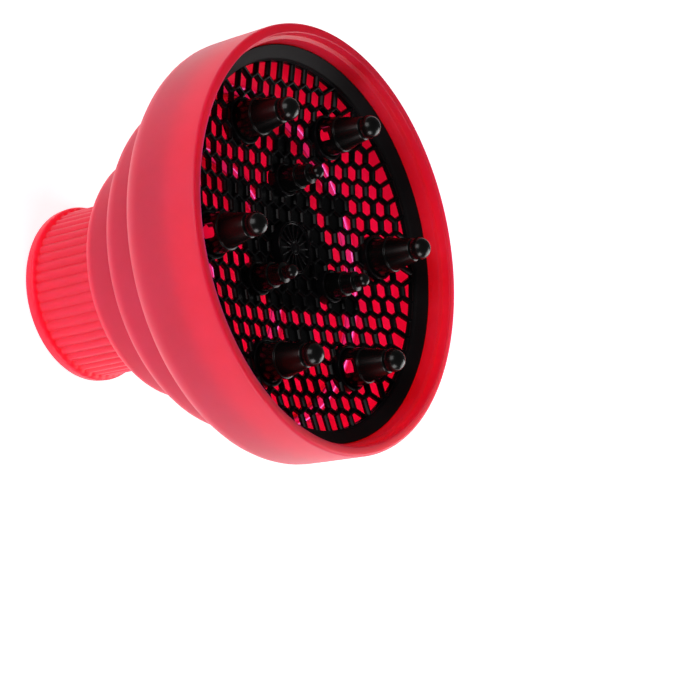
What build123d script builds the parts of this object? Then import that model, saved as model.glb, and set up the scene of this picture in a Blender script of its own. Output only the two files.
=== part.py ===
"""Collapsible hair-dryer diffuser: soft stepped sleeve, dished honeycomb grille and plug-in fingers.

All sizes are in millimetres. +Z is the way the air blows. The origin is the centre of the collar's open end.
"""

from build123d import *
import math
import os

# ---- sleeve: overall
RIM_R = 72.0
SKIN = 2.0
FOLD_THICKNESS = 1.2
SLIDE_GAP = 1.3
FOLD_RISE = 0.1

# ---- collar that stretches over the dryer's nozzle
NOZZLE_BORE_R = 26.5
COLLAR_WALL = 2.5
COLLAR_LENGTH = 33.0
RIB_COUNT = 52
RIB_HEIGHT = 0.7
RIB_R = 1.0
BEAD_STAND = 2.2
BEAD_LENGTH = 4.2
BEAD_ROUND = 1.2
MOUTH_CHAMFER = 1.0

# ---- small step: its wall, its rear cone's rise, its whole length and its corner's round
SMALL_STEP_R = 43.0
SMALL_STEP_RISE = 4.2
SMALL_STEP_LENGTH = 16.5
SMALL_STEP_ROUND = 5.0
REAR_FOLD_LENGTH = 1.5

# ---- large step
LARGE_STEP_R = 57.5
LARGE_STEP_RISE = 7.7
LARGE_STEP_LENGTH = 20.0
LARGE_STEP_ROUND = 6.0
MIDDLE_FOLD_LENGTH = 2.5

# ---- bowl, which widens a little towards its rim
RIM_FLARE = 0.2
BOWL_RISE = 4.4
BOWL_LENGTH = 34.5
BOWL_ROUND = 7.0
FRONT_FOLD_LENGTH = 2.0

# ---- lip of the bowl
LIP_WIDTH = 3.4
LIP_DEPTH = 3.2
LIP_STEP_WIDTH = 1.5
LIP_STEP_DEPTH = 1.2
LIP_ROUND = 1.0
LEDGE_WIDTH = 1.8
LEDGE_THICKNESS = 2.4
LEDGE_GAP = 0.1

# ---- grille
GRILLE_DEPTH = 7.56
FLANGE_GAP = 0.3
FLANGE_WIDTH = 4.5
FLANGE_DROP = 2.4
FLANGE_THICKNESS = 2.2
DISH_STEP = 1.1
DISH_SAG = 7.96
PLATE_THICKNESS = 2.0
CELL_PITCH = 6.7
CELL_RIB = 1.6
CELL_KEEP = 0.7
CELL_MARGIN = 0.5
CELL_REACH = 3
BLIND_RINGS = 3
BLIND_FLOOR = 0.8
PATCH_CELLS = ((-0.5, 5), (0.5, 5), (0.0, 6))

# ---- hub in the middle of the grille
HUB_R = 9.0
HUB_HEIGHT = 3.0
HUB_RING_WIDTH = 1.1
HUB_SINK = 1.0
HUB_CORE_R = 3.2
HUB_SPOKES = 16
HUB_SPOKE_WIDTH = 0.8
HUB_SPOKE_SINK = 0.4

# ---- fingers: ring radius, tier radii, heights above the seat floor
LARGE_COUNT = 6
LARGE_RING_R = 46.0
LARGE_BASE_R = 6.8
LARGE_SHOULDER_R = 6.3
LARGE_TIER_R = 5.8
LARGE_TIP_R = 4.0
LARGE_TIER_H = 9.0
LARGE_TIP_H = 19.6
LARGE_SEAT_SINK = 2.2
LARGE_WALL = 1.3
LARGE_SPIGOT_R = 6.1
LARGE_TURNS = (100, 0, 100, 0, 100, 0)

SMALL_COUNT = 3
SMALL_RING_R = 2 * math.sqrt(3) * CELL_PITCH
SMALL_START_ANGLE = 90
SMALL_BASE_R = 4.6
SMALL_SHOULDER_R = 4.3
SMALL_TIER_R = 3.5
SMALL_TIP_R = 2.4
SMALL_TIER_H = 8.4
SMALL_TIP_H = 15.0
SMALL_SEAT_SINK = 1.5
SMALL_WALL = 1.1
SMALL_SPIGOT_R = 3.2

# ---- how a finger plugs into its seat, and its hollow's wall under the shoulder
SEAT_GAP = 0.15
SEAT_WALL = 1.0
SEAT_FLOOR = 1.2
SEAT_RIM_H = 2.9
SPIGOT_WALL = 0.7
SPIGOT_LEG_GAP = 7.0
SPIGOT_GAP = 0.1
BARB_REACH = 0.35
BARB_HEIGHT = 0.8
HOLLOW_TOP_WALL = 0.8
WINDOW_WIDTH = 4.7
WINDOW_SILL = 3.0
WINDOW_TOP_MARGIN = 0.9

# ---- derived places, from the collar's open end forwards
COLLAR_R = NOZZLE_BORE_R + COLLAR_WALL
SMALL_REAR_Z = COLLAR_LENGTH + REAR_FOLD_LENGTH
SMALL_FRONT_Z = SMALL_REAR_Z + SMALL_STEP_LENGTH
LARGE_REAR_Z = SMALL_FRONT_Z + MIDDLE_FOLD_LENGTH
LARGE_FRONT_Z = LARGE_REAR_Z + LARGE_STEP_LENGTH
BOWL_REAR_Z = LARGE_FRONT_Z + FRONT_FOLD_LENGTH
SLEEVE_LENGTH = BOWL_REAR_Z + BOWL_LENGTH
SMALL_OPENING_R = COLLAR_R + RIB_HEIGHT + SLIDE_GAP
LARGE_OPENING_R = SMALL_STEP_R + SLIDE_GAP
BOWL_OPENING_R = LARGE_STEP_R + SLIDE_GAP
LIP_R = RIM_R - LIP_WIDTH
GRILLE_SEAT_R = LIP_R - LIP_STEP_WIDTH
FLANGE_R = GRILLE_SEAT_R - FLANGE_GAP
FLANGE_INNER_R = FLANGE_R - FLANGE_WIDTH
CELL_KEEP_R = FLANGE_INNER_R - CELL_KEEP
DISH_EDGE_Z = SLEEVE_LENGTH - GRILLE_DEPTH - FLANGE_DROP - DISH_STEP
DISH_CENTRE_Z = DISH_EDGE_Z - DISH_SAG
DISH_SPHERE_R = (FLANGE_INNER_R**2 + DISH_SAG**2) / (2 * DISH_SAG)
FLANGE_FRONT_Z = SLEEVE_LENGTH - GRILLE_DEPTH
FLANGE_BACK_Z = FLANGE_FRONT_Z - FLANGE_THICKNESS
ROW_SPACING = CELL_PITCH * math.sqrt(3) / 2


def dish_z(radius):
    """Height of the grille's front surface at a radius: a shallow spherical bowl."""
    return DISH_CENTRE_Z + DISH_SPHERE_R - math.sqrt(DISH_SPHERE_R**2 - radius**2)


# ---- the soft sleeve ---------------------------------------------------------------


def make_collar():
    """Ribbed tube with a thick smooth bead round its open end."""
    with BuildPart() as collar:
        with BuildSketch():
            Circle(COLLAR_R)
            with PolarLocations(COLLAR_R + RIB_HEIGHT - RIB_R, RIB_COUNT):
                Circle(RIB_R)
        extrude(amount=COLLAR_LENGTH)
        with BuildSketch():
            Circle(COLLAR_R + BEAD_STAND)
        extrude(amount=BEAD_LENGTH)
        round_edges = collar.edges().filter_by(GeomType.CIRCLE)
        bead_edges = round_edges.group_by(lambda edge: round(edge.radius, 2))[-1]
        fillet(bead_edges, radius=BEAD_ROUND)
        with BuildSketch():
            Circle(NOZZLE_BORE_R)
        extrude(amount=COLLAR_LENGTH, mode=Mode.SUBTRACT)
        mouth = collar.edges().filter_by(GeomType.CIRCLE).group_by(Axis.Z)[0].sort_by(SortBy.LENGTH)[0]
        chamfer(mouth, length=MOUTH_CHAMFER)
    return collar


def inset(opening_r, rear_z, wall_r, corner_z, skin):
    """Inner outline of a step: its rear cone and wall moved inwards by the skin."""
    slope = (corner_z - rear_z) / (wall_r - opening_r)
    lift = skin * math.sqrt(1 + slope**2)
    return (opening_r, rear_z + lift), (wall_r - skin, corner_z - slope * skin + lift)


def make_step(opening_r, wall_r, rear_z, rise, front_z, corner_r):
    """One rounded step: a rear cone, a round corner and a straight wall."""
    corner_z = rear_z + rise
    inner_rear, inner_corner = inset(opening_r, rear_z, wall_r, corner_z, SKIN)
    with BuildPart() as ring:
        with BuildSketch(Plane.XZ):
            with BuildLine():
                outer = FilletPolyline(
                    (opening_r, rear_z),
                    (wall_r, corner_z),
                    (wall_r, front_z),
                    radius=corner_r,
                )
                inner = FilletPolyline(
                    inner_rear,
                    inner_corner,
                    (wall_r - SKIN, front_z),
                    radius=corner_r - SKIN,
                )
                Line(outer @ 0, inner @ 0)
                Line(outer @ 1, inner @ 1)
            make_face()
        revolve(axis=Axis.Z)
    return ring


def make_fold(from_r, from_z, to_r, to_z):
    """Thin flexible web between two pieces: from a front edge out to the next rear opening."""
    with BuildPart() as fold:
        with BuildSketch(Plane.XZ):
            with BuildLine():
                Polyline(
                    (from_r - FOLD_THICKNESS, from_z),
                    (from_r, from_z),
                    (to_r, to_z + FOLD_RISE),
                    (to_r, to_z + FOLD_RISE + FOLD_THICKNESS),
                    close=True,
                )
            make_face()
        revolve(axis=Axis.Z)
    return fold


def make_bowl(opening_r):
    """Wide front of the sleeve: round rear corner, straight wall, thick lip and the grille's ledge."""
    wall_r = RIM_R - RIM_FLARE
    corner_z = BOWL_REAR_Z + BOWL_RISE
    step_z = SLEEVE_LENGTH - LIP_DEPTH
    ledge_z = FLANGE_BACK_Z - LEDGE_GAP
    ledge_low_z = ledge_z - LEDGE_THICKNESS
    ledge_r = GRILLE_SEAT_R - LEDGE_WIDTH
    inner_rear, inner_corner = inset(opening_r, BOWL_REAR_Z, wall_r, corner_z, SKIN)
    with BuildPart() as bowl:
        with BuildSketch(Plane.XZ):
            with BuildLine():
                outer = FilletPolyline(
                    (opening_r, BOWL_REAR_Z),
                    (wall_r, corner_z),
                    (RIM_R, SLEEVE_LENGTH),
                    (LIP_R, SLEEVE_LENGTH),
                    (LIP_R, step_z),
                    radius=[BOWL_ROUND, LIP_ROUND, LIP_ROUND],
                )
                wall = Polyline(
                    (LIP_R, step_z),
                    (GRILLE_SEAT_R, step_z - LIP_STEP_DEPTH),
                    (GRILLE_SEAT_R, ledge_z),
                    (ledge_r, ledge_z),
                    (ledge_r, ledge_low_z),
                    (wall_r - SKIN, ledge_low_z - LEDGE_WIDTH),
                )
                inner = FilletPolyline(wall @ 1, inner_corner, inner_rear, radius=BOWL_ROUND - SKIN)
                Line(inner @ 1, outer @ 0)
            make_face()
        revolve(axis=Axis.Z)
    return bowl


# ---- the honeycomb grille ------------------------------------------------------------


def clip_half_plane(outline, nx, ny, limit):
    """The part of a convex outline where x*nx + y*ny is at most the limit."""
    kept = []
    for (ax, ay), (bx, by) in zip(outline, outline[1:] + outline[:1]):
        a_side = ax * nx + ay * ny - limit
        b_side = bx * nx + by * ny - limit
        if a_side <= 0:
            kept.append((ax, ay))
        if a_side * b_side < 0:
            share = a_side / (a_side - b_side)
            kept.append((ax + share * (bx - ax), ay + share * (by - ay)))
    return kept


def lattice():
    """Column and row of every honeycomb cell inside the flange. Odd rows are half a pitch along."""
    cells = []
    rows = int(CELL_KEEP_R / ROW_SPACING)
    columns = int(CELL_KEEP_R / CELL_PITCH) + 1
    for row in range(-rows, rows + 1):
        for column in range(-columns, columns + 1):
            along = column + 0.5 * (row % 2)
            if math.hypot(along * CELL_PITCH, row * ROW_SPACING) < CELL_KEEP_R:
                cells.append((along, row))
    return cells


def cell_centre(cell):
    """Centre of a cell in millimetres."""
    along, row = cell
    return along * CELL_PITCH, row * ROW_SPACING


def cell_outline(cell, cells):
    """A cell's hole: a hexagon, or at the edge the space up to its neighbours, less half a rib each side."""
    x, y = cell_centre(cell)
    reach = CELL_REACH * CELL_PITCH
    corners = ((-reach, -reach), (reach, -reach), (reach, reach), (-reach, reach))
    outline = [(x + dx, y + dy) for dx, dy in corners]
    for other in cells:
        ox, oy = cell_centre(other)
        gap = math.hypot(ox - x, oy - y)
        if 0 < gap < reach:
            nx, ny = (ox - x) / gap, (oy - y) / gap
            middle = ((ox + x) * nx + (oy + y) * ny) / 2
            outline = clip_half_plane(outline, nx, ny, middle - CELL_RIB / 2)
    return outline


def turned(cell, turns):
    """A cell turned about the hub by sixths of a turn."""
    x, y = cell_centre(cell)
    angle = math.radians(60 * turns)
    tx = x * math.cos(angle) - y * math.sin(angle)
    ty = x * math.sin(angle) + y * math.cos(angle)
    return round(2 * tx / CELL_PITCH) / 2, round(ty / ROW_SPACING)


def is_blind(cell):
    """The cells round the hub and six patches of three have a closed floor."""
    along, row = cell
    rings = max(abs(row), abs(along) + abs(row) / 2)
    patches = [turned(patch, turns) for patch in PATCH_CELLS for turns in range(6)]
    return rings <= BLIND_RINGS or cell in patches


def large_seats():
    """Centres of the outer ring of seats."""
    return PolarLocations(LARGE_RING_R, LARGE_COUNT)


def small_seats():
    """Centres of the inner ring of seats."""
    return PolarLocations(SMALL_RING_R, SMALL_COUNT, start_angle=SMALL_START_ANGLE)


def floor_z(ring_r, sink):
    """Top of a seat's floor: below the dish's surface by the sink."""
    return dish_z(ring_r) - sink


def make_grille():
    """Sloping flange, dished honeycomb plate, spoked hub and a cup-shaped seat for each finger."""
    cells = lattice()
    mid_r = FLANGE_INNER_R / 2
    rim_z = FLANGE_FRONT_Z - FLANGE_DROP
    large_floor = floor_z(LARGE_RING_R, LARGE_SEAT_SINK)
    small_floor = floor_z(SMALL_RING_R, SMALL_SEAT_SINK)
    seats = [
        make_seats(large_seats(), LARGE_BASE_R, LARGE_SPIGOT_R, large_floor),
        make_seats(small_seats(), SMALL_BASE_R, SMALL_SPIGOT_R, small_floor),
    ]
    holes = [Face(Wire.make_polygon(cell_outline(cell, cells), close=True)) for cell in cells]
    with BuildPart() as blind_floor:
        with BuildSketch(Plane.XZ):
            with BuildLine():
                low = ThreePointArc(
                    (0, DISH_CENTRE_Z - PLATE_THICKNESS),
                    (mid_r, dish_z(mid_r) - PLATE_THICKNESS),
                    (FLANGE_INNER_R, DISH_EDGE_Z - PLATE_THICKNESS),
                )
                high = ThreePointArc(
                    (0, DISH_CENTRE_Z - PLATE_THICKNESS + BLIND_FLOOR),
                    (mid_r, dish_z(mid_r) - PLATE_THICKNESS + BLIND_FLOOR),
                    (FLANGE_INNER_R, DISH_EDGE_Z - PLATE_THICKNESS + BLIND_FLOOR),
                )
                Line(low @ 0, high @ 0)
                Line(low @ 1, high @ 1)
            make_face()
        revolve(axis=Axis.Z)
        with BuildSketch(Plane.XY.offset(DISH_CENTRE_Z - HUB_R)):
            with Locations(*[cell_centre(cell) for cell in cells if is_blind(cell)]):
                RegularPolygon(CELL_PITCH / 2, 6, major_radius=False, rotation=30)
        extrude(amount=SLEEVE_LENGTH, mode=Mode.INTERSECT)
    with BuildPart() as grille:
        with BuildSketch(Plane.XZ):
            with BuildLine():
                front = ThreePointArc(
                    (0, DISH_CENTRE_Z),
                    (mid_r, dish_z(mid_r)),
                    (FLANGE_INNER_R, DISH_EDGE_Z),
                )
                Polyline(
                    front @ 1,
                    (FLANGE_INNER_R, rim_z),
                    (FLANGE_R, FLANGE_FRONT_Z),
                    (FLANGE_R, FLANGE_BACK_Z),
                    (FLANGE_R - LEDGE_WIDTH, FLANGE_BACK_Z),
                    (FLANGE_INNER_R, DISH_EDGE_Z - PLATE_THICKNESS),
                )
                back = ThreePointArc(
                    (0, DISH_CENTRE_Z - PLATE_THICKNESS),
                    (mid_r, dish_z(mid_r) - PLATE_THICKNESS),
                    (FLANGE_INNER_R, DISH_EDGE_Z - PLATE_THICKNESS),
                )
                Line(front @ 0, back @ 0)
            make_face()
        revolve(axis=Axis.Z)
        with BuildSketch(Plane.XY.offset(DISH_CENTRE_Z - HUB_R)):
            add(holes)
            Circle(FLANGE_INNER_R - CELL_MARGIN, mode=Mode.INTERSECT)
            Circle(HUB_R - HUB_RING_WIDTH / 2, mode=Mode.SUBTRACT)
        extrude(amount=SLEEVE_LENGTH, mode=Mode.SUBTRACT)
        add(blind_floor.part)
        add(make_hub().part)
        for cup, _ in seats:
            add(cup.part)
        for _, hollow in seats:
            add(hollow.part, mode=Mode.SUBTRACT)
    return grille


def make_hub():
    """Raised ring with spokes and a plain core, standing on the middle of the dish."""
    base_z = DISH_CENTRE_Z - PLATE_THICKNESS
    top_z = DISH_CENTRE_Z + HUB_HEIGHT
    inner_r = HUB_R - HUB_RING_WIDTH
    with BuildPart() as hub:
        with BuildSketch(Plane.XY.offset(base_z)):
            Circle(HUB_R)
        extrude(amount=top_z - base_z)
        with BuildSketch(Plane.XY.offset(top_z)):
            Circle(inner_r)
        extrude(amount=-HUB_SINK, mode=Mode.SUBTRACT)
        with BuildSketch(Plane.XY.offset(top_z - HUB_SPOKE_SINK)):
            Circle(HUB_CORE_R)
            with PolarLocations((HUB_CORE_R + inner_r) / 2, HUB_SPOKES):
                Rectangle(inner_r - HUB_CORE_R + HUB_SPOKE_WIDTH, HUB_SPOKE_WIDTH)
        extrude(amount=HUB_SPOKE_SINK - HUB_SINK)
    return hub


def make_seats(places, base_r, spigot_r, seat_z):
    """Cups that hold the fingers' feet, and the hollows cut for each foot and its spigot."""
    low_z = seat_z - SEAT_FLOOR
    with BuildPart() as cup:
        with BuildSketch(Plane.XY.offset(low_z)):
            with places:
                Circle(base_r + SEAT_GAP + SEAT_WALL)
        extrude(amount=SEAT_FLOOR + SEAT_RIM_H)
    with BuildPart() as hollow:
        with BuildSketch(Plane.XY.offset(seat_z)):
            with places:
                Circle(base_r + SEAT_GAP)
        extrude(amount=SLEEVE_LENGTH)
        with BuildSketch(Plane.XY.offset(low_z - SEAT_FLOOR)):
            with places:
                Circle(spigot_r + SPIGOT_GAP)
        extrude(amount=SEAT_FLOOR * 3)
    return cup, hollow


# ---- the fingers -----------------------------------------------------------------------


def finger_section(sizes, foot_z):
    """Half section of a hollow finger: spigot with a barb, lower tier, slim upper tier and ball tip."""
    base_r, shoulder_r, tier_r, tip_r, tier_h, tip_h, wall, spigot_r = sizes
    spigot_inner_r = spigot_r - SPIGOT_WALL
    tier_z = foot_z + tier_h
    tip_z = foot_z + tip_h
    barb_top_z = foot_z - SEAT_FLOOR - SPIGOT_GAP
    barb_low_z = barb_top_z - BARB_HEIGHT
    lean = math.atan2(tier_r - tip_r, tip_h - tier_h)
    tangent = (tip_r * math.cos(lean), tip_z + tip_r * math.sin(lean))
    dome = (tip_r * math.cos(math.radians(45)), tip_z + tip_r * math.sin(math.radians(45)))
    with BuildLine(Plane.XZ) as section:
        Polyline(
            (spigot_inner_r, barb_low_z),
            (spigot_r, barb_low_z),
            (spigot_r + BARB_REACH, barb_top_z),
            (spigot_r, barb_top_z),
            (spigot_r, foot_z),
            (base_r, foot_z),
            (shoulder_r, tier_z),
            (tier_r, tier_z),
            tangent,
        )
        ThreePointArc(tangent, dome, (0, tip_z + tip_r))
        Polyline(
            (0, tip_z + tip_r),
            (0, tier_z),
            (tier_r - 2 * wall, tier_z - wall),
            (shoulder_r - HOLLOW_TOP_WALL, tier_z - WINDOW_TOP_MARGIN - wall),
            (base_r - wall, foot_z + wall),
            (spigot_inner_r, foot_z + wall),
            (spigot_inner_r, barb_low_z),
        )
    return make_face(section.line)


def make_finger(name, centre, sizes, foot_z, window_turn):
    """One finger on its seat. With a turn it has two opposite windows and a spigot split into two legs."""
    base_r, tier_h = sizes[0], sizes[4]
    section = finger_section(sizes, foot_z)
    with BuildPart() as finger:
        revolve(section, axis=Axis.Z)
        if window_turn is not None:
            window_low = foot_z + WINDOW_SILL
            window_height = tier_h - WINDOW_SILL - WINDOW_TOP_MARGIN
            facing = math.radians(window_turn)
            across = Plane(
                (0, 0, window_low + window_height / 2),
                x_dir=(-math.sin(facing), math.cos(facing), 0),
                z_dir=(math.cos(facing), math.sin(facing), 0),
            )
            with BuildSketch(across):
                RectangleRounded(WINDOW_WIDTH, window_height, radius=WINDOW_WIDTH / 4)
            extrude(amount=2 * base_r, both=True, mode=Mode.SUBTRACT)
            with BuildSketch(Plane.XY.offset(foot_z)):
                Rectangle(4 * base_r, SPIGOT_LEG_GAP, rotation=window_turn)
            extrude(amount=-base_r, mode=Mode.SUBTRACT)
    placed = finger.part.moved(Location(centre))
    placed.label = name
    export_step(placed, f"parts/{name}.step")
    return placed


def ring_centre(ring_r, angle):
    """A point on a ring round the axis."""
    return ring_r * math.cos(math.radians(angle)), ring_r * math.sin(math.radians(angle)), 0


# ---- build and write -----------------------------------------------------------------


def write(name, piece):
    """Label a finished piece and write its STEP file."""
    piece.part.label = name
    export_step(piece.part, f"parts/{name}.step")


os.makedirs("parts", exist_ok=True)

small_step_sizes = (SMALL_STEP_R, SMALL_REAR_Z, SMALL_STEP_RISE, SMALL_FRONT_Z, SMALL_STEP_ROUND)
large_step_sizes = (LARGE_STEP_R, LARGE_REAR_Z, LARGE_STEP_RISE, LARGE_FRONT_Z, LARGE_STEP_ROUND)

write("collar", make_collar())
write("small_step_ring", make_step(SMALL_OPENING_R, *small_step_sizes))
write("large_step_ring", make_step(LARGE_OPENING_R, *large_step_sizes))
write("bowl", make_bowl(BOWL_OPENING_R))
write("rear_fold", make_fold(COLLAR_R, COLLAR_LENGTH, SMALL_OPENING_R, SMALL_REAR_Z))
write("middle_fold", make_fold(SMALL_STEP_R, SMALL_FRONT_Z, LARGE_OPENING_R, LARGE_REAR_Z))
write("front_fold", make_fold(LARGE_STEP_R, LARGE_FRONT_Z, BOWL_OPENING_R, BOWL_REAR_Z))
write("honeycomb_grille", make_grille())

large_sizes = (
    LARGE_BASE_R, LARGE_SHOULDER_R, LARGE_TIER_R, LARGE_TIP_R,
    LARGE_TIER_H, LARGE_TIP_H, LARGE_WALL, LARGE_SPIGOT_R,
)
small_sizes = (
    SMALL_BASE_R, SMALL_SHOULDER_R, SMALL_TIER_R, SMALL_TIP_R,
    SMALL_TIER_H, SMALL_TIP_H, SMALL_WALL, SMALL_SPIGOT_R,
)
large_foot_z = floor_z(LARGE_RING_R, LARGE_SEAT_SINK)
small_foot_z = floor_z(SMALL_RING_R, SMALL_SEAT_SINK)
for index, turn in enumerate(LARGE_TURNS):
    place = ring_centre(LARGE_RING_R, index * 360 / LARGE_COUNT)
    make_finger(f"large_finger_{index + 1}", place, large_sizes, large_foot_z, turn)
for index in range(SMALL_COUNT):
    place = ring_centre(SMALL_RING_R, SMALL_START_ANGLE + index * 360 / SMALL_COUNT)
    make_finger(f"small_finger_{index + 1}", place, small_sizes, small_foot_z, None)
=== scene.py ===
"""Looks of the collapsible hair-dryer diffuser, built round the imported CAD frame. Metres throughout."""

import math

import bmesh
import bpy
import numpy as np
from mathutils import Matrix, Vector


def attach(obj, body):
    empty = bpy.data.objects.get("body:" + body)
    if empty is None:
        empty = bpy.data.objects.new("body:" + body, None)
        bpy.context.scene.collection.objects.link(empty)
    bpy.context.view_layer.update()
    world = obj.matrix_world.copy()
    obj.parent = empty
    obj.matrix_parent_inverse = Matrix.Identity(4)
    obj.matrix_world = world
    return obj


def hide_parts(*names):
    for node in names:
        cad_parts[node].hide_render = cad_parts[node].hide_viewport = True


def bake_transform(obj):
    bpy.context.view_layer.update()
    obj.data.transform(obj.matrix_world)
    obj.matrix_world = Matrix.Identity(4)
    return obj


MM = 0.001


# ---- sizes repeated from the CAD, in millimetres ------------------------------------

SLEEVE_LENGTH = 110.0
GRILLE_DEPTH = 7.56
FLANGE_R = 66.8
FLANGE_INNER_R = 62.3
FLANGE_DROP = 2.4
DISH_STEP = 1.1
DISH_SAG = 7.96
PLATE_THICKNESS = 2.0
CELL_PITCH = 6.7
CREST_WIDTH = 0.7
CELL_RIB = 1.6
TAPER_DEPTH = 0.9
CELL_KEEP_R = 61.6
CELL_MARGIN = 0.5
BLIND_RINGS = 3
FLOOR_DROP = 1.3
PATCH_CELLS = ((-0.5, 5), (0.5, 5), (0.0, 6))
HUB_R = 9.0
HUB_HEIGHT = 3.0
LARGE_RING_R = 46.0
SMALL_RING_R = 2 * math.sqrt(3) * CELL_PITCH
LARGE_SINK = 2.2
SMALL_SINK = 1.5
SEAT_RIM_H = 2.9
SEAT_FLOOR = 1.2
ROW_SPACING = CELL_PITCH * math.sqrt(3) / 2
DISH_EDGE_Z = SLEEVE_LENGTH - GRILLE_DEPTH - FLANGE_DROP - DISH_STEP
DISH_CENTRE_Z = DISH_EDGE_Z - DISH_SAG
DISH_SPHERE_R = (FLANGE_INNER_R**2 + DISH_SAG**2) / (2 * DISH_SAG)
FLANGE_FRONT_Z = SLEEVE_LENGTH - GRILLE_DEPTH


def dish_z(radius):
    """Height of the grille's front surface at a radius."""
    return DISH_CENTRE_Z + DISH_SPHERE_R - math.sqrt(DISH_SPHERE_R**2 - radius**2)


# ---- mesh helpers ----------------------------------------------------------------------


def mesh_object(name, verts, faces, smooth=True, sharp_deg=35.0):
    """A mesh object from millimetre vertices, with sharp edges kept sharp."""
    mesh = bpy.data.meshes.new(name)
    mesh.from_pydata([tuple(c * MM for c in v) for v in verts], [], faces)
    mesh.validate()
    obj = bpy.data.objects.new(name, mesh)
    bpy.context.scene.collection.objects.link(obj)
    tidy(obj, smooth, sharp_deg)
    return obj


def tidy(obj, smooth=True, sharp_deg=35.0, merge_mm=0.004):
    """Merge doubled vertices, face the normals outwards and shade by edge angle."""
    bm = bmesh.new()
    bm.from_mesh(obj.data)
    bmesh.ops.remove_doubles(bm, verts=bm.verts, dist=merge_mm * MM)
    bmesh.ops.recalc_face_normals(bm, faces=bm.faces)
    limit = math.radians(sharp_deg)
    for face in bm.faces:
        face.smooth = smooth
    for edge in bm.edges:
        edge.smooth = not (len(edge.link_faces) == 2 and edge.calc_face_angle(0.0) > limit)
    bm.to_mesh(obj.data)
    bm.free()


def rounded(points, default=0.0, steps=8):
    """A polyline with rounded corners. Each point is (r, z) or (r, z, radius)."""
    out = []
    last = len(points) - 1
    for i, point in enumerate(points):
        radius = point[2] if len(point) > 2 else default
        here = Vector(point[:2])
        if i in (0, last) or radius <= 0:
            out.append((here.x, here.y))
            continue
        before = Vector(points[i - 1][:2]) - here
        after = Vector(points[i + 1][:2]) - here
        angle = before.angle(after)
        reach = min(radius / math.tan(angle / 2), 0.98 * before.length, 0.98 * after.length)
        radius = reach * math.tan(angle / 2)
        start = here + before.normalized() * reach
        end = here + after.normalized() * reach
        centre = here + (before.normalized() + after.normalized()).normalized() * (radius / math.sin(angle / 2))
        a0 = math.atan2(start.y - centre.y, start.x - centre.x)
        a1 = math.atan2(end.y - centre.y, end.x - centre.x)
        turn = (a1 - a0 + math.pi) % (2 * math.pi) - math.pi
        count = max(2, int(math.ceil(abs(turn) / (math.pi / 2) * steps)))
        for k in range(count + 1):
            a = a0 + turn * k / count
            out.append((centre.x + radius * math.cos(a), centre.y + radius * math.sin(a)))
    return out


def revolve(name, profile, segments=192, closed=True, ripple=None, centre=(0.0, 0.0), sharp_deg=35.0):
    """A ring or solid of revolution about a vertical axis. ripple(r, z, angle) may change the radius."""
    verts, faces, rows = [], [], []
    for r, z in profile:
        if r < 1e-6:
            rows.append([len(verts)])
            verts.append((centre[0], centre[1], z))
            continue
        row = []
        for s in range(segments):
            a = 2 * math.pi * s / segments
            radius = ripple(r, z, a) if ripple else r
            row.append(len(verts))
            verts.append((centre[0] + radius * math.cos(a), centre[1] + radius * math.sin(a), z))
        rows.append(row)
    pairs = list(zip(rows, rows[1:]))
    if closed:
        pairs.append((rows[-1], rows[0]))
    for low, high in pairs:
        for s in range(segments):
            t = (s + 1) % segments
            a, b = low[s % len(low)], low[t % len(low)]
            c, d = high[t % len(high)], high[s % len(high)]
            ring = []
            for index in (a, b, c, d):
                if index not in ring:
                    ring.append(index)
            if len(ring) > 2:
                faces.append(ring)
    return mesh_object(name, verts, faces, sharp_deg=sharp_deg)


def apply_boolean(obj, cutter, operation="DIFFERENCE"):
    """Cut or join one mesh with another, and drop the cutter."""
    modifier = obj.modifiers.new("cut", "BOOLEAN")
    modifier.operation = operation
    modifier.solver = "EXACT"
    modifier.object = cutter
    graph = bpy.context.evaluated_depsgraph_get()
    cut = bpy.data.meshes.new_from_object(obj.evaluated_get(graph))
    obj.modifiers.clear()
    obj.data = cut
    bpy.data.objects.remove(cutter)
    return obj


def joined(name, objs):
    """Several meshes as one piece."""
    bm = bmesh.new()
    for o in objs:
        bm.from_mesh(o.data)
    mesh = bpy.data.meshes.new(name)
    bm.to_mesh(mesh)
    bm.free()
    out = bpy.data.objects.new(name, mesh)
    bpy.context.scene.collection.objects.link(out)
    for o in objs:
        bpy.data.objects.remove(o)
    return out


# ---- materials -----------------------------------------------------------------------------


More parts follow.
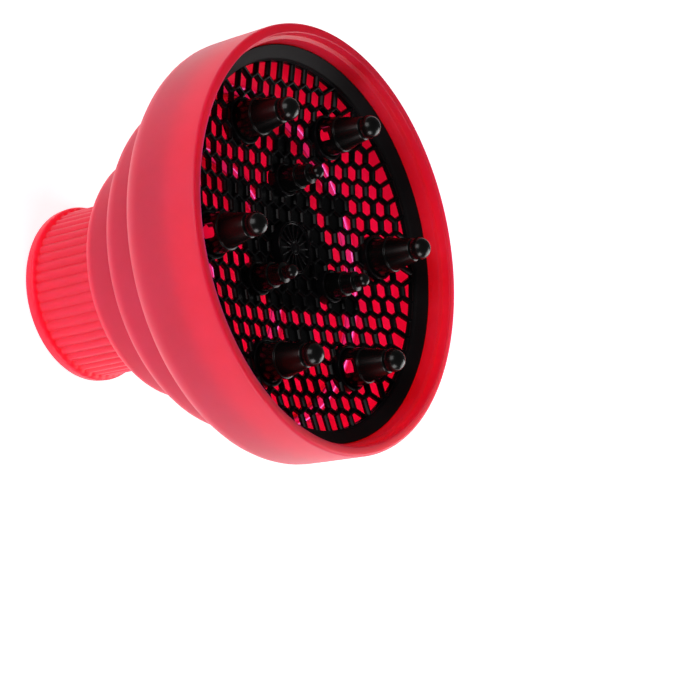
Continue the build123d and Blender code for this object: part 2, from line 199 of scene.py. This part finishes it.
class Nodes:
    """Small helper to wire a shader."""

    def __init__(self, name):
        self.mat = bpy.data.materials.new(name)
        self.mat.use_nodes = True
        self.tree = self.mat.node_tree
        self.tree.nodes.clear()
        self.out = self.tree.nodes.new("ShaderNodeOutputMaterial")
        self.bsdf = self.tree.nodes.new("ShaderNodeBsdfPrincipled")
        self.tree.links.new(self.bsdf.outputs[0], self.out.inputs[0])
        self.coord = self.tree.nodes.new("ShaderNodeTexCoord")

    def add(self, kind, **inputs):
        node = self.tree.nodes.new(kind)
        for key, value in inputs.items():
            node.inputs[key.replace("_", " ")].default_value = value
        return node

    def link(self, a, b):
        self.tree.links.new(a, b)

    def noise(self, scale, detail=3.0, rough=0.55):
        node = self.tree.nodes.new("ShaderNodeTexNoise")
        node.inputs["Scale"].default_value = scale
        node.inputs["Detail"].default_value = detail
        node.inputs["Roughness"].default_value = rough
        self.link(self.coord.outputs["Object"], node.inputs["Vector"])
        return node

    def ramp(self, source, stops):
        node = self.tree.nodes.new("ShaderNodeValToRGB")
        ramp = node.color_ramp
        while len(ramp.elements) > len(stops):
            ramp.elements.remove(ramp.elements[-1])
        while len(ramp.elements) < len(stops):
            ramp.elements.new(0.5)
        for element, (place, colour) in zip(ramp.elements, stops):
            element.position = place
            element.color = colour if len(colour) == 4 else (*colour, 1.0)
        self.link(source, node.inputs["Fac"])
        return node

    def range(self, source, low, high):
        node = self.tree.nodes.new("ShaderNodeMapRange")
        node.inputs["To Min"].default_value = low
        node.inputs["To Max"].default_value = high
        self.link(source, node.inputs["Value"])
        return node

    def bump(self, source, strength, distance):
        node = self.tree.nodes.new("ShaderNodeBump")
        node.inputs["Strength"].default_value = strength
        node.inputs["Distance"].default_value = distance
        self.link(source, node.inputs["Height"])
        self.link(node.outputs["Normal"], self.bsdf.inputs["Normal"])
        return node


def silicone(name, deep, light, rough_low, rough_high, glow):
    """Soft translucent rubber: slight clouding in the colour, a fine matt grain and scattering under the skin."""
    n = Nodes(name)
    cloud = n.noise(38.0, 4.0, 0.6)
    colour = n.ramp(cloud.outputs["Fac"], [(0.3, deep), (0.72, light)])
    n.link(colour.outputs["Color"], n.bsdf.inputs["Base Color"])
    grain = n.noise(2600.0, 2.0, 0.5)
    rough = n.range(cloud.outputs["Fac"], rough_low, rough_high)
    n.link(rough.outputs["Result"], n.bsdf.inputs["Roughness"])
    n.bump(grain.outputs["Fac"], 0.12, 0.0002)
    n.bsdf.inputs["Subsurface Weight"].default_value = glow
    n.bsdf.inputs["Subsurface Radius"].default_value = (1.0, 0.26, 0.37)
    n.bsdf.inputs["Subsurface Scale"].default_value = 0.02
    n.bsdf.inputs["IOR"].default_value = 1.42
    n.bsdf.inputs["Specular IOR Level"].default_value = 0.38
    n.bsdf.inputs["Sheen Weight"].default_value = 0.03
    n.bsdf.inputs["Sheen Roughness"].default_value = 0.4
    n.bsdf.inputs["Sheen Tint"].default_value = (1.0, 0.72, 0.76, 1.0)
    return n.mat


def plastic(name, dark, pale, rough_low, rough_high, grain_scale, grain_strength, shine):
    """Moulded plastic: faint colour drift, uneven gloss and a fine moulded grain."""
    n = Nodes(name)
    drift = n.noise(55.0, 3.0, 0.5)
    colour = n.ramp(drift.outputs["Fac"], [(0.3, dark), (0.75, pale)])
    n.link(colour.outputs["Color"], n.bsdf.inputs["Base Color"])
    rough = n.range(drift.outputs["Fac"], rough_low, rough_high)
    n.link(rough.outputs["Result"], n.bsdf.inputs["Roughness"])
    grain = n.noise(grain_scale, 2.0, 0.5)
    n.bump(grain.outputs["Fac"], grain_strength, 0.0001)
    n.bsdf.inputs["IOR"].default_value = 1.49
    n.bsdf.inputs["Specular IOR Level"].default_value = shine
    return n.mat


def floor_material():
    """Plain pale studio floor, lit from beneath like a light table."""
    n = Nodes("studio_floor")
    soft = n.noise(3.0, 2.0, 0.5)
    colour = n.ramp(soft.outputs["Fac"], [(0.3, (0.93, 0.93, 0.93)), (0.7, (0.96, 0.96, 0.96))])
    n.link(colour.outputs["Color"], n.bsdf.inputs["Base Color"])
    n.bsdf.inputs["Roughness"].default_value = 0.9
    n.bsdf.inputs["Emission Color"].default_value = (1.0, 1.0, 1.0, 1.0)
    n.bsdf.inputs["Emission Strength"].default_value = 0.74
    return n.mat


def paint(obj, material):
    """One material on a piece."""
    obj.data.materials.clear()
    obj.data.materials.append(material)
    return obj


# ---- the soft sleeve -----------------------------------------------------------------------

RIB_COUNT = 52


def collar_ripple(r, z, angle):
    """Rounded axial ribs on the outside of the collar, fading into the bead and the shoulder."""
    if r < 27.5 or z < 3.6 or z > 33.0:
        return r
    fade = min(1.0, (z - 3.6) / 1.6)
    wave = math.cos(RIB_COUNT * angle)
    shape = 0.5 + 0.5 * wave
    return r - 0.75 * fade * (1.0 - shape**0.55)


def build_collar():
    outer = rounded([
        (26.5, 33.0),
        (26.5, 1.2, 0.0),
        (27.5, 0.15, 0.6),
        (28.6, 0.0, 0.8),
        (30.9, 0.0, 1.5),
        (31.2, 3.9, 1.2),
        (29.75, 4.7, 0.6),
        (29.75, 33.0),
    ], steps=6)
    fine = []
    for (r0, z0), (r1, z1) in zip(outer, outer[1:]):
        count = max(1, int(abs(z1 - z0) / 1.5))
        for k in range(count):
            fine.append((r0 + (r1 - r0) * k / count, z0 + (z1 - z0) * k / count))
    fine.append(outer[-1])
    return revolve("collar_skin", fine, segments=RIB_COUNT * 12, ripple=collar_ripple)


def shell(name, outer, skin):
    """A soft ring of even wall: the outer outline and the same outline moved inwards."""
    inner = []
    for i, (r, z) in enumerate(outer):
        before = Vector(outer[max(i - 1, 0)])
        after = Vector(outer[min(i + 1, len(outer) - 1)])
        along = (after - before).normalized()
        inner.append((r - skin * along.y, z + skin * along.x))
    return revolve(name, outer + inner[::-1])


def build_small_step():
    outer = rounded([(31.0, 34.5), (31.6, 34.75, 0.5), (43.0, 38.7, 4.5), (43.0, 51.0)], steps=10)
    return shell("small_step_skin", outer, 2.0)


def build_large_step():
    outer = rounded([(44.3, 53.5), (45.0, 53.8, 0.5), (57.5, 60.9, 6.5), (57.5, 73.5)], steps=10)
    return shell("large_step_skin", outer, 2.0)


def build_bowl():
    profile = rounded([
        (58.8, 75.9),
        (59.6, 76.1, 0.4),
        (71.4, 80.3, 9.5),
        (71.75, 94.0, 0.0),
        (72.0, 110.0, 1.0),
        (68.6, 110.0, 0.5),
        (68.5, 107.0, 0.25),
        (67.35, 106.2, 0.25),
        (67.1, 104.0, 0.3),
        (67.1, 100.2, 0.2),
        (65.2, 100.0, 0.5),
        (65.2, 97.6, 0.6),
        (69.5, 95.6, 1.5),
        (69.3, 82.3, 7.0),
        (60.0, 78.1, 0.5),
        (58.8, 77.8),
    ], steps=8)
    return revolve("bowl_skin", profile, segments=256)


def build_web(name, low, high, belly):
    """Thin fold of the sleeve between two rings, a little slack in the middle."""
    (r0, z0), (r1, z1) = low, high
    outer, inner = [], []
    for k in range(13):
        t = k / 12
        sag = belly * math.sin(math.pi * t)
        r, z = r0 + (r1 - r0) * t, z0 + (z1 - z0) * t
        outer.append((r + sag, z - 0.4 * sag))
        inner.append((r - 1.2 + sag, z + 0.5 - 0.4 * sag))
    return revolve(name, outer + inner[::-1])


# ---- the grille -------------------------------------------------------------------------------


def clip_half_plane(outline, nx, ny, limit):
    """The part of a convex outline where x*nx + y*ny is at most the limit."""
    kept = []
    for (ax, ay), (bx, by) in zip(outline, outline[1:] + outline[:1]):
        a_side = ax * nx + ay * ny - limit
        b_side = bx * nx + by * ny - limit
        if a_side <= 0:
            kept.append((ax, ay))
        if a_side * b_side < 0:
            share = a_side / (a_side - b_side)
            kept.append((ax + share * (bx - ax), ay + share * (by - ay)))
    return kept


def lattice():
    """Every honeycomb cell inside the flange."""
    cells = []
    rows = int(CELL_KEEP_R / ROW_SPACING)
    columns = int(CELL_KEEP_R / CELL_PITCH) + 1
    for row in range(-rows, rows + 1):
        for column in range(-columns, columns + 1):
            along = column + 0.5 * (row % 2)
            if math.hypot(along * CELL_PITCH, row * ROW_SPACING) < CELL_KEEP_R:
                cells.append((along, row))
    return cells


def cell_centre(cell):
    return cell[0] * CELL_PITCH, cell[1] * ROW_SPACING


def cell_outline(cell, cells, inset, limit_r):
    """Space of one cell up to its neighbours, less an inset, cut off at a circle."""
    x, y = cell_centre(cell)
    reach = 3 * CELL_PITCH
    outline = [(x - reach, y - reach), (x + reach, y - reach), (x + reach, y + reach), (x - reach, y + reach)]
    for other in cells:
        ox, oy = cell_centre(other)
        gap = math.hypot(ox - x, oy - y)
        if 0 < gap < reach:
            nx, ny = (ox - x) / gap, (oy - y) / gap
            outline = clip_half_plane(outline, nx, ny, ((ox + x) * nx + (oy + y) * ny) / 2 - inset)
    if max(math.hypot(*p) for p in outline) > limit_r:
        for k in range(240):
            a = 2 * math.pi * k / 240
            nx, ny = math.cos(a), math.sin(a)
            if nx * x + ny * y > 0.8 * math.hypot(x, y):
                outline = clip_half_plane(outline, nx, ny, limit_r)
    return outline


def turned(cell, turns):
    x, y = cell_centre(cell)
    angle = math.radians(60 * turns)
    tx = x * math.cos(angle) - y * math.sin(angle)
    ty = x * math.sin(angle) + y * math.cos(angle)
    return round(2 * tx / CELL_PITCH) / 2, round(ty / ROW_SPACING)


def is_blind(cell):
    along, row = cell
    rings = max(abs(row), abs(along) + abs(row) / 2)
    patches = [turned(patch, turns) for patch in PATCH_CELLS for turns in range(6)]
    return rings <= BLIND_RINGS or cell in patches


def ray_hit(outline, cx, cy, angle):
    """Where a ray from inside a convex outline leaves it."""
    dx, dy = math.cos(angle), math.sin(angle)
    best = None
    for (ax, ay), (bx, by) in zip(outline, outline[1:] + outline[:1]):
        ex, ey = bx - ax, by - ay
        cross = dx * ey - dy * ex
        if abs(cross) < 1e-12:
            continue
        t = ((ax - cx) * ey - (ay - cy) * ex) / cross
        u = ((ax - cx) * dy - (ay - cy) * dx) / cross
        if t > 0 and -1e-6 <= u <= 1 + 1e-6 and (best is None or t < best):
            best = t
    return cx + dx * best, cy + dy * best


def clear_seats(obj, seats):
    """Open the honeycomb inside each seat: faces inside go, and those at its edge end within the cup's wall."""
    bm = bmesh.new()
    bm.from_mesh(obj.data)
    for cx, cy, radius in seats:
        inside = {v for v in bm.verts if math.hypot(v.co.x / MM - cx, v.co.y / MM - cy) < radius}
        gone = [f for f in bm.faces if all(v in inside for v in f.verts)]
        bmesh.ops.delete(bm, geom=gone, context="FACES")
        for v in bm.verts:
            dx, dy = v.co.x / MM - cx, v.co.y / MM - cy
            far = math.hypot(dx, dy)
            if far < radius:
                v.co.x = (cx + dx * radius / far) * MM
                v.co.y = (cy + dy * radius / far) * MM
    bm.to_mesh(obj.data)
    bm.free()
    return obj


def build_honeycomb():
    """The dished plate: every cell is a rib loop with softened front edges; blind cells get a floor."""
    cells = lattice()
    verts, faces = [], []

    def put(x, y, drop):
        verts.append((x, y, dish_z(min(math.hypot(x, y), 64.0)) - drop))
        return len(verts) - 1

    for cell in cells:
        outer = cell_outline(cell, cells, 0.0, FLANGE_INNER_R + 0.3)
        crest = cell_outline(cell, cells, CREST_WIDTH / 2, FLANGE_INNER_R - 0.2)
        hole = cell_outline(cell, cells, CELL_RIB / 2, FLANGE_INNER_R - CELL_MARGIN)
        cx = sum(p[0] for p in hole) / len(hole)
        cy = sum(p[1] for p in hole) / len(hole)
        angles = sorted({round(math.atan2(y - cy, x - cx), 5) for x, y in hole + crest + outer})
        merged = [a for i, a in enumerate(angles) if i == 0 or a - angles[i - 1] > 0.01]
        low = [ray_hit(hole, cx, cy, a) for a in merged]
        top = [ray_hit(crest, cx, cy, a) for a in merged]
        edge = [ray_hit(outer, cx, cy, a) for a in merged]
        blind = is_blind(cell)

        def between(share, near, far):
            return [(ax + (bx - ax) * share, ay + (by - ay) * share) for (ax, ay), (bx, by) in zip(near, far)]

        rings = [
            [put(x, y, 0.0) for x, y in edge],
            [put(x, y, 0.0) for x, y in between(0.4, top, edge)],
            [put(x, y, 0.07) for x, y in between(0.1, top, edge)],
            [put(x, y, 0.2) for x, y in top],
            [put(x, y, TAPER_DEPTH) for x, y in low],
        ]
        if blind:
            rings.append([put(x, y, FLOOR_DROP) for x, y in low])
            rings.append([put(cx + (x - cx) * 0.5, cy + (y - cy) * 0.5, FLOOR_DROP) for x, y in low])
        else:
            rings.append([put(x, y, PLATE_THICKNESS - 0.1) for x, y in low])
            rings.append([put(x, y, PLATE_THICKNESS) for x, y in between(0.12, low, edge)])
            rings.append([put(x, y, PLATE_THICKNESS) for x, y in edge])
        count = len(merged)
        for upper, lower in zip(rings, rings[1:]):
            for k in range(count):
                m = (k + 1) % count
                faces.append([upper[k], upper[m], lower[m], lower[k]])
        if blind:
            middle = put(cx, cy, FLOOR_DROP)
            for k in range(count):
                faces.append([rings[-1][k], rings[-1][(k + 1) % count], middle])
            back = [put(x, y, PLATE_THICKNESS) for x, y in edge]
            under = put(cx, cy, PLATE_THICKNESS)
            for k in range(count):
                faces.append([back[k], back[(k + 1) % count], under])
    return mesh_object("honeycomb", verts, faces, sharp_deg=30.0)


def build_flange():
    rim_z = FLANGE_FRONT_Z - FLANGE_DROP
    profile = rounded([
        (62.0, DISH_EDGE_Z - PLATE_THICKNESS),
        (62.0, DISH_EDGE_Z + 0.05, 0.0),
        (62.35, DISH_EDGE_Z + 0.05, 0.1),
        (62.45, rim_z, 0.35),
        (66.7, FLANGE_FRONT_Z, 0.3),
        (66.8, FLANGE_FRONT_Z - 0.6, 0.15),
        (66.8, FLANGE_FRONT_Z - 2.2, 0.2),
        (64.9, FLANGE_FRONT_Z - 2.2, 0.1),
        (64.0, DISH_EDGE_Z - PLATE_THICKNESS, 0.3),
    ], steps=5)
    return revolve("grille_flange", profile, segments=256, sharp_deg=40.0)


def build_hub():
    """Raised medallion: double ring, spokes like a small wheel, plain core."""
    base = DISH_CENTRE_Z - PLATE_THICKNESS
    top = DISH_CENTRE_Z + HUB_HEIGHT
    body = revolve("hub_body", rounded([
        (0.0, top - 1.0),
        (7.75, top - 1.0, 0.0),
        (7.85, top - 0.15, 0.1),
        (8.05, top, 0.12),
        (8.30, top, 0.12),
        (8.38, top - 0.45, 0.05),
        (8.48, top - 0.45, 0.05),
        (8.56, top, 0.12),
        (8.85, top, 0.15),
        (9.0, top - 0.3, 0.1),
        (9.0, base),
        (0.0, base),
    ], steps=4), segments=128, closed=False)
    core = revolve("hub_core", rounded([
        (0.0, top - 0.25),
        (1.3, top - 0.25, 0.1),
        (1.45, top - 0.45, 0.1),
        (1.7, top - 0.45, 0.1),
        (1.85, top - 0.2, 0.1),
        (2.5, top - 0.2, 0.15),
        (2.7, top - 1.05),
    ], steps=3), segments=64, closed=False)
    spokes = []
    for k in range(16):
        a = 2 * math.pi * k / 16
        bpy.ops.mesh.primitive_cube_add(size=1)
        spoke = bpy.context.object
        spoke.data.transform(Matrix.Diagonal((5.6 * MM, 0.55 * MM, 0.9 * MM, 1)))
        bm = bmesh.new()
        bm.from_mesh(spoke.data)
        bmesh.ops.bevel(bm, geom=bm.edges[:], offset=0.14 * MM, segments=2, profile=0.5, affect="EDGES")
        bm.to_mesh(spoke.data)
        bm.free()
        spoke.data.transform(Matrix.Rotation(a, 4, "Z") @ Matrix.Translation((5.1 * MM, 0, (top - 0.75) * MM)))
        for face in spoke.data.polygons:
            face.use_smooth = True
        spokes.append(spoke)
    return joined("hub", [body, core] + spokes)


def build_seat(name, cx, cy, base_r, floor, spigot_r):
    """Cup round a finger's foot."""
    low = floor - SEAT_FLOOR
    top = floor + SEAT_RIM_H
    inner = base_r + SEAT_GAP
    outer = inner + SEAT_WALL
    profile = rounded([
        (spigot_r + 0.1, floor),
        (inner, floor, 0.1),
        (inner, top, 0.2),
        (outer, top, 0.3),
        (outer, low, 0.2),
        (spigot_r + 0.1, low),
    ], steps=4)
    return revolve(name, profile, segments=72, centre=(cx, cy))


def ring_places(ring_r, count, start_deg):
    """Evenly spaced places on a ring round the axis."""
    turns = [math.radians(start_deg + 360 * k / count) for k in range(count)]
    return [(ring_r * math.cos(a), ring_r * math.sin(a)) for a in turns]


LARGE_PLACES = ring_places(LARGE_RING_R, 6, 0)
SMALL_PLACES = ring_places(SMALL_RING_R, 3, 90)
LARGE_FOOT_R = 6.8
SMALL_FOOT_R = 4.6
SEAT_GAP = 0.15
SEAT_WALL = 1.0


def build_grille():
    half_wall = SEAT_GAP + SEAT_WALL / 2
    seats = [(*place, LARGE_FOOT_R + half_wall) for place in LARGE_PLACES]
    seats += [(*place, SMALL_FOOT_R + half_wall) for place in SMALL_PLACES]
    parts = [clear_seats(build_honeycomb(), seats), build_hub()]
    for cx, cy in LARGE_PLACES:
        parts.append(build_seat("seat", cx, cy, LARGE_FOOT_R, dish_z(LARGE_RING_R) - LARGE_SINK, 6.1))
    for cx, cy in SMALL_PLACES:
        parts.append(build_seat("seat", cx, cy, SMALL_FOOT_R, dish_z(SMALL_RING_R) - SMALL_SINK, 3.2))
    return joined("grille_plate", parts)


# ---- the fingers ---------------------------------------------------------------------------------


def ball_points(tip_r, centre_z, start_deg, steps=16):
    """Quarter outline of a ball from a start angle up to its top."""
    out = []
    for k in range(steps + 1):
        a = math.radians(start_deg + (90 - start_deg) * k / steps)
        out.append((tip_r * math.cos(a) if k < steps else 0.0, centre_z + tip_r * math.sin(a)))
    return out


def build_large_finger(name, cx, cy, turn_deg):
    foot = dish_z(LARGE_RING_R) - LARGE_SINK
    tier = foot + 9.0
    ball = foot + 19.6
    profile = rounded([
        (5.4, foot - 2.1),
        (6.1, foot - 2.1, 0.1),
        (6.45, foot - 1.35, 0.1),
        (6.1, foot - 1.3, 0.0),
        (6.1, foot, 0.1),
        (6.75, foot + 0.02, 0.2),
        (6.3, tier - 0.1, 0.3),
        (5.85, tier, 0.05),
        (5.8, tier + 0.1, 0.05),
        (4.0, ball - 1.9, 0.6),
        (3.5, ball - 1.82, 0.05),
    ], steps=5)
    profile += ball_points(3.95, ball + 0.05, -28)
    inside = [
        (0.0, tier - 0.6),
        (3.6, tier - 0.9),
        (4.9, tier - 2.2),
        (5.5, foot + 1.3),
        (5.4, foot),
    ]
    body = revolve(name, profile + inside, segments=96)
    low, high = foot + 3.0, tier - 0.9
    apply_boolean(body, rounded_bar(4.7, high - low, 40.0, 1.2, turn_deg, (low + high) / 2))
    apply_boolean(body, rounded_bar(7.0, 2.8, 40.0, 0.2, turn_deg, foot - 1.4))
    tidy(body, sharp_deg=32.0)
    body.data.transform(Matrix.Translation((cx * MM, cy * MM, 0)))
    return body


def rounded_bar(width, height, length, corner, turn_deg, z):
    """A long bar with rounded edges, lying flat and turned about the vertical axis."""
    bpy.ops.mesh.primitive_cube_add(size=1)
    bar = bpy.context.object
    bar.data.transform(Matrix.Diagonal((length * MM, width * MM, height * MM, 1)))
    bm = bmesh.new()
    bm.from_mesh(bar.data)
    along = [e for e in bm.edges if abs((e.verts[0].co - e.verts[1].co).x) > 0.5 * length * MM]
    bmesh.ops.bevel(bm, geom=along, offset=corner * MM, segments=6, profile=0.5, affect="EDGES")
    bm.to_mesh(bar.data)
    bm.free()
    bar.data.transform(Matrix.Translation((0, 0, z * MM)) @ Matrix.Rotation(math.radians(turn_deg), 4, "Z"))
    return bar


def build_small_finger(name, cx, cy):
    foot = dish_z(SMALL_RING_R) - SMALL_SINK
    tier = foot + 8.4
    ball = foot + 15.0
    profile = rounded([
        (2.4, foot - 2.1),
        (3.2, foot - 2.1, 0.1),
        (3.55, foot - 1.3, 0.1),
        (3.2, foot - 1.25, 0.0),
        (3.2, foot, 0.1),
        (4.58, foot + 0.02, 0.15),
        (4.3, tier - 0.1, 0.3),
        (3.66, tier, 0.05),
        (3.45, ball - 2.4, 0.4),
        (2.2, ball - 2.1, 0.1),
        (2.15, ball - 1.2),
    ], steps=5)
    profile += ball_points(2.4, ball, -26)
    inside = [(0.0, tier - 1.0), (2.2, tier - 1.4), (3.3, foot + 1.1), (2.4, foot + 1.1)]
    body = revolve(name, profile + inside, segments=80)
    body.data.transform(Matrix.Translation((cx * MM, cy * MM, 0)))
    return body


# ---- build ---------------------------------------------------------------------------------------

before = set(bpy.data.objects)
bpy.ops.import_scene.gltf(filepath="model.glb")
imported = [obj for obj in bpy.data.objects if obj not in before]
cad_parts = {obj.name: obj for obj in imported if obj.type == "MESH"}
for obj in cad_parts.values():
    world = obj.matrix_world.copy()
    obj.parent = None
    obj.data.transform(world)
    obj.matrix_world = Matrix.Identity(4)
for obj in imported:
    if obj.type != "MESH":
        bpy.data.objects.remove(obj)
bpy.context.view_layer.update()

red_deep = (0.78, 0.010, 0.042)
red_light = (0.85, 0.015, 0.056)
skin = silicone("silicone_coral", red_deep, red_light, 0.34, 0.44, 1.0)
black_grille = plastic("grille_black", (0.004, 0.004, 0.005), (0.006, 0.006, 0.007), 0.18, 0.26, 900.0, 0.06, 0.11)
black_flange = plastic("flange_black", (0.006, 0.005, 0.006), (0.011, 0.010, 0.011), 0.50, 0.60, 900.0, 0.10, 0.10)
black_gloss = plastic("finger_black", (0.002, 0.002, 0.002), (0.004, 0.004, 0.004), 0.20, 0.27, 500.0, 0.02, 0.34)

pieces = [
    (build_collar(), "collar", ["collar"]),
    (build_small_step(), "small_step", ["small_step_ring"]),
    (build_large_step(), "large_step", ["large_step_ring"]),
    (build_bowl(), "bowl", ["bowl"]),
]
for piece, body, nodes in pieces:
    paint(piece, skin)
    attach(piece, body)
    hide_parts(*nodes)

webs = [
    ("rear_fold_skin", (29.2, 33.0), (31.0, 34.5), 0.0, "collar", "small_step", "rear_fold"),
    ("middle_fold_skin", (43.0, 51.0), (44.3, 53.5), 0.0, "small_step", "large_step", "middle_fold"),
    ("front_fold_skin", (57.5, 73.5), (58.8, 75.9), 0.0, "large_step", "bowl", "front_fold"),
]
for name, low, high, belly, lower, upper, node in webs:
    web = build_web(name, low, high, belly)
    paint(web, skin)
    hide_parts(node)
    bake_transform(web)

grille = build_grille()
paint(grille, black_grille)
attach(grille, "grille")
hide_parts("honeycomb_grille")
flange = build_flange()
paint(flange, black_flange)
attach(flange, "grille")

for k, place in enumerate(LARGE_PLACES):
    finger = build_large_finger(f"large_finger_{k + 1}_body", *place, 100 if k % 2 == 0 else 0)
    paint(finger, black_gloss)
    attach(finger, "grille")
    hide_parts(f"large_finger_{k + 1}")
for k, place in enumerate(SMALL_PLACES):
    finger = build_small_finger(f"small_finger_{k + 1}_body", *place)
    paint(finger, black_gloss)
    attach(finger, "grille")
    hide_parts(f"small_finger_{k + 1}")

# CAD nodes keep the same finishes, though the detailed pieces above stand for them
for node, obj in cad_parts.items():
    if "finger" in node:
        finish = black_gloss
    elif "grille" in node:
        finish = black_grille
    else:
        finish = skin
    obj.data.materials.clear()
    obj.data.materials.append(finish)

# ---- stage, camera and light -----------------------------------------------------------------------

bpy.ops.mesh.primitive_plane_add(size=8.0, location=(0, 0, -0.0005))
floor = bpy.context.object
floor.name = "studio_floor"
floor.data.materials.append(floor_material())

camera_data = bpy.data.cameras.new("camera")
camera_data.lens = 112.67
camera_data.sensor_width = 36.0
camera = bpy.data.objects.new("camera", camera_data)
bpy.context.scene.collection.objects.link(camera)
right = Vector((0.57651, -0.10129, 0.8108))
up = Vector((-0.04444, 0.98693, 0.1549))
back = Vector((-0.81585, -0.12533, 0.5645))
pose = Matrix((
    (right.x, up.x, back.x, -0.5805),
    (right.y, up.y, back.y, -0.1264),
    (right.z, up.z, back.z, 0.5131),
    (0, 0, 0, 1),
))
camera.matrix_world = pose
bpy.context.scene.camera = camera

rotation = pose.to_3x3()


def softbox(name, direction, distance, width, height, watts, colour=(1, 1, 1)):
    """A soft light placed by its direction in the picture: right, up and towards the viewer."""
    data = bpy.data.lights.new(name, "AREA")
    data.shape = "RECTANGLE"
    data.size = width
    data.size_y = height
    data.energy = watts
    data.color = colour
    lamp = bpy.data.objects.new(name, data)
    bpy.context.scene.collection.objects.link(lamp)
    way = (rotation @ Vector(direction)).normalized()
    middle = Vector((0, 0, 0.07))
    lamp.location = middle + way * distance
    lamp.rotation_euler = way.to_track_quat("Z", "Y").to_euler()
    return lamp


softbox("key", (-0.42, 0.42, 0.95), 0.9, 0.60, 0.60, 3.7)
softbox("fill_low", (0.15, -1.0, 0.50), 0.9, 0.5, 0.4, 3.5)
softbox("rim", (0.9, -0.40, -0.50), 0.9, 0.6, 0.6, 4.6)

world = bpy.data.worlds.new("studio")
bpy.context.scene.world = world
world.use_nodes = True
world.node_tree.nodes["Background"].inputs[0].default_value = (1, 1, 1, 1)
world.node_tree.nodes["Background"].inputs[1].default_value = 0.10
bpy.context.scene.view_settings.view_transform = "Standard"
